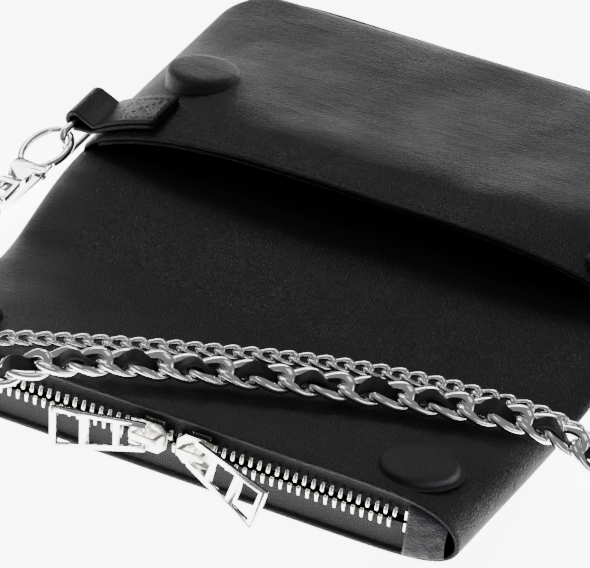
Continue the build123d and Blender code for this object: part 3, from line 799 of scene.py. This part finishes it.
# ---------------------------------------------------------------- chains
laced_route = [
    (-110.5, -43.5, 4.2),
    (-122.0, -54.0, 4.2),
    (-136.0, -70.0, 4.2),
    (-139.0, -92.0, 4.2),
    (-128.0, -113.0, 4.2),
    (-106.0, -129.5, 4.4),
    (-80.0, -132.5, 6.0),
    (-57.0, -122.0, 14.0),
    (-38.0, -113.0, 24.2),
    (-18.0, -101.0, 23.4),
    (8.0, -86.0, 19.6),
    (34.0, -74.5, 17.0),
    (60.0, -65.0, 14.9),
    (84.0, -58.5, 13.8),
    (101.0, -56.0, 12.0),
    (117.0, -57.0, 5.2),
    (136.0, -64.0, 4.2),
    (161.6, -66.0, 4.2),
    (178.0, -49.6, 4.2),
    (178.0, -26.4, 4.2),
    (161.6, -10.0, 4.2),
    (150.0, -10.5, 4.2),
]
fine_route = [
    (-101.5, -43.5, 2.7),
    (-108.0, -55.0, 2.7),
    (-119.0, -68.0, 2.7),
    (-125.0, -86.0, 2.7),
    (-119.0, -105.0, 2.7),
    (-104.0, -117.5, 3.2),
    (-90.0, -122.5, 6.5),
    (-76.0, -118.5, 14.5),
    (-60.0, -110.0, 23.2),
    (-32.0, -91.0, 19.0),
    (-5.0, -75.0, 15.4),
    (22.0, -61.5, 12.8),
    (47.0, -53.0, 11.0),
    (72.0, -48.5, 10.0),
    (95.0, -47.8, 10.0),
    (110.0, -47.5, 3.6),
    (131.0, -52.5, 2.7),
    (154.0, -54.0, 2.7),
    (164.0, -44.0, 2.7),
    (164.0, -30.0, 2.7),
    (154.0, -20.0, 2.7),
    (146.5, -20.0, 2.7),
]


def spline_points(route):
    """Points read from the route's smooth NURBS line."""
    curve = bpy.data.curves.new("route", "CURVE")
    curve.dimensions = "3D"
    curve.resolution_u = 24
    spline = curve.splines.new("NURBS")
    spline.points.add(len(route) - 1)
    for point, (x, y, z) in zip(spline.points, route):
        point.co = (x * MM, y * MM, z * MM, 1)
    spline.order_u = 3
    spline.use_endpoint_u = True
    holder = bpy.data.objects.new("route", curve)
    bpy.context.scene.collection.objects.link(holder)
    bpy.context.view_layer.update()
    graph = bpy.context.evaluated_depsgraph_get()
    mesh = bpy.data.meshes.new_from_object(holder.evaluated_get(graph))
    points = [v.co.copy() / MM for v in mesh.vertices]
    bpy.data.objects.remove(holder)
    return points


class Line:
    """A path with its length, and its point and directions at any distance along it."""

    def __init__(self, points):
        self.points = points
        self.runs = [0.0]
        for a, b in zip(points, points[1:]):
            self.runs.append(self.runs[-1] + (b - a).length)
        self.length = self.runs[-1]
        self.table = np.array([tuple(p) for p in points])

    def at(self, s):
        """Point, forward, side and up at distance s."""
        spot = Vector([float(np.interp(s, self.runs, self.table[:, k])) for k in range(3)])
        back = Vector([float(np.interp(s - 1.5, self.runs, self.table[:, k])) for k in range(3)])
        front = Vector([float(np.interp(s + 1.5, self.runs, self.table[:, k])) for k in range(3)])
        ahead = (front - back).normalized()
        side = Vector((0, 0, 1)).cross(ahead).normalized()
        return spot, ahead, side, ahead.cross(side)


def chain(name, line, pitch, half_length, half_width_mm, wire, flat, twist, roll):
    """Curb links along a line: ovals of wire, twisted so that their ends cross their neighbours'."""
    around, ring = 40, 10
    verts, faces = [], []
    start = half_length + wire / 2
    count = round((line.length - 2 * start) / pitch)
    pitch = (line.length - 2 * start) / count
    for index in range(count + 1):
        s = start + index * pitch
        spot, ahead, side, up = line.at(s)
        jitter = 0.10 * noise.noise(Vector((index * 0.73, 2.1, 0)))
        base = len(verts)

        def place(x, angle_round):
            turn = twist * max(-1, min(1, x / half_length)) + roll + jitter
            y = half_width_mm * math.copysign(abs(math.sin(angle_round)) ** 0.85, math.sin(angle_round))
            return Vector((x, y * math.cos(turn), y * math.sin(turn))), turn

        for k in range(around):
            angle = 2 * math.pi * k / around
            x = half_length * math.copysign(abs(math.cos(angle)) ** 0.9, math.cos(angle))
            middle, turn = place(x, angle)
            later = 2 * math.pi * (k + 0.5) / around
            earlier = 2 * math.pi * (k - 0.5) / around
            x_later = half_length * math.copysign(abs(math.cos(later)) ** 0.9, math.cos(later))
            x_earlier = half_length * math.copysign(abs(math.cos(earlier)) ** 0.9, math.cos(earlier))
            tangent = (place(x_later, later)[0] - place(x_earlier, earlier)[0]).normalized()
            flat_up = Vector((0, -math.sin(turn), math.cos(turn)))
            out = tangent.cross(flat_up).normalized()
            flat_up = out.cross(tangent).normalized()
            for j in range(ring):
                a = 2 * math.pi * j / ring
                c, d = math.cos(a), math.sin(a)
                c = math.copysign(abs(c) ** 0.8, c)
                d = math.copysign(abs(d) ** 0.8, d)
                local = middle + out * (wire / 2 * c) + flat_up * (wire * flat / 2 * d)
                point = spot + ahead * local.x + side * local.y + up * local.z
                verts.append(tuple(point))
        for k in range(around):
            for j in range(ring):
                a = base + k * ring + j
                b = base + k * ring + (j + 1) % ring
                c = base + ((k + 1) % around) * ring + (j + 1) % ring
                d = base + ((k + 1) % around) * ring + j
                faces.append((a, b, c, d))
    made = from_lists(name, verts, faces, chain_metal)
    recalc(made)
    return made


laced_line = Line(spline_points(laced_route))
fine_line = Line(spline_points(fine_route))
laced = chain("laced_links", laced_line, 8.6, 5.7, 3.7, 3.2, 0.72, 0.6, 0.15)
fine = chain("fine_links", fine_line, 5.4, 3.65, 2.0, 1.6, 0.9, 0.65, 0.1)

lace_rows = []
lace_step = 1.0
lace_rise = 2.7
link_pitch = 8.6
lace_count = int((laced_line.length - 4) / lace_step)
for index in range(lace_count):
    s = 2 + index * lace_step
    spot, ahead, side, up = laced_line.at(s)
    phase = math.pi * (s - 4.0) / link_pitch
    lift = lace_rise * math.cos(phase)
    slope = -lace_rise * math.pi / link_pitch * math.sin(phase)
    tilt = 0.35 * math.sin(phase * 0.5 + 0.6) + 0.25 * wobble(s, 0, 11, 4)
    normal = (up - ahead * slope).normalized()
    edge = (side * math.cos(tilt) + normal * math.sin(tilt)).normalized()
    normal = ahead.cross(edge).normalized()
    half, thick = 2.6 + 0.3 * math.cos(phase), 0.85
    ring = []
    for k in range(14):
        a = 2 * math.pi * k / 14
        c, d = math.cos(a), math.sin(a)
        c = math.copysign(abs(c) ** 0.6, c)
        d = math.copysign(abs(d) ** 0.8, d)
        ring.append(tuple(spot + up * lift + edge * (half * c) + normal * (thick * d)))
    lace_rows.append(ring)
lace = surface("lace", lace_rows, lace_leather, around=True, cap_end=True)
recalc(lace)

for piece in (laced, fine, lace):
    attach(piece, "pouch")
    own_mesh(piece)
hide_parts("laced_chain")
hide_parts("fine_chain")


def metres(points):
    """Points in metres."""
    return [tuple(p * MM) for p in points]


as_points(metres(laced_line.points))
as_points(metres(fine_line.points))

# ---------------------------------------------------------------- materials of the nodes that stay
for name, node in nodes.items():
    if "lining" in name:
        finish = lining_cloth
    elif "magnets" in name:
        finish = magnet_metal
    elif name == "pocket_facing":
        finish = tab_leather
    else:
        finish = nickel
    node.data.materials.clear()
    node.data.materials.append(finish)

# ---------------------------------------------------------------- camera, floor and light
centre = Vector((-8.0, -15.5, 0)) * MM
azimuth, elevation, distance = math.radians(29), math.radians(36), 1.5
offset = Vector((
    math.sin(azimuth) * math.cos(elevation), -math.cos(azimuth) * math.cos(elevation), math.sin(elevation)
))
camera_data = bpy.data.cameras.new("camera")
camera_data.lens = 306.6
camera_data.sensor_width = 36
camera_data.clip_end = 20
camera = bpy.data.objects.new("camera", camera_data)
camera.location = centre + offset * distance
camera.rotation_euler = (-offset).to_track_quat("-Z", "Y").to_euler()
bpy.context.scene.collection.objects.link(camera)
bpy.context.scene.camera = camera

floor_finish, _, floor_shader = material("floor", Base_Color=(0.85, 0.85, 0.85, 1), Roughness=0.8)
floor_shader.inputs["Specular IOR Level"].default_value = 0.0
floor_shader.inputs["Emission Color"].default_value = (1, 1, 1, 1)
floor_shader.inputs["Emission Strength"].default_value = 8.0
floor = from_lists("floor", [(-4000, -4000, 0), (4000, -4000, 0), (4000, 4000, 0), (-4000, 4000, 0)],
                   [(0, 1, 2, 3)], floor_finish)
floor.location.z = -0.0004


def area_light(name, at, towards, size, power):
    """A soft rectangular light."""
    data = bpy.data.lights.new(name, "AREA")
    data.shape = "RECTANGLE"
    data.size, data.size_y = size
    data.energy = power
    light = bpy.data.objects.new(name, data)
    light.location = at
    light.rotation_euler = (Vector(towards) - Vector(at)).to_track_quat("-Z", "Y").to_euler()
    bpy.context.scene.collection.objects.link(light)


area_light("key", (-0.9, 1.1, 1.3), (0, 0, 0), (1.2, 0.7), 15)
area_light("fill", (1.3, -0.5, 0.9), (0, -0.02, 0), (0.5, 0.9), 4)
area_light("top", (0.1, -0.1, 1.9), (0, 0, 0), (1.0, 1.0), 4)
world = bpy.data.worlds.new("world")
world.use_nodes = True
world.node_tree.nodes["Background"].inputs["Color"].default_value = (0.75, 0.76, 0.78, 1)
world.node_tree.nodes["Background"].inputs["Strength"].default_value = 0.3
bpy.context.scene.world = world
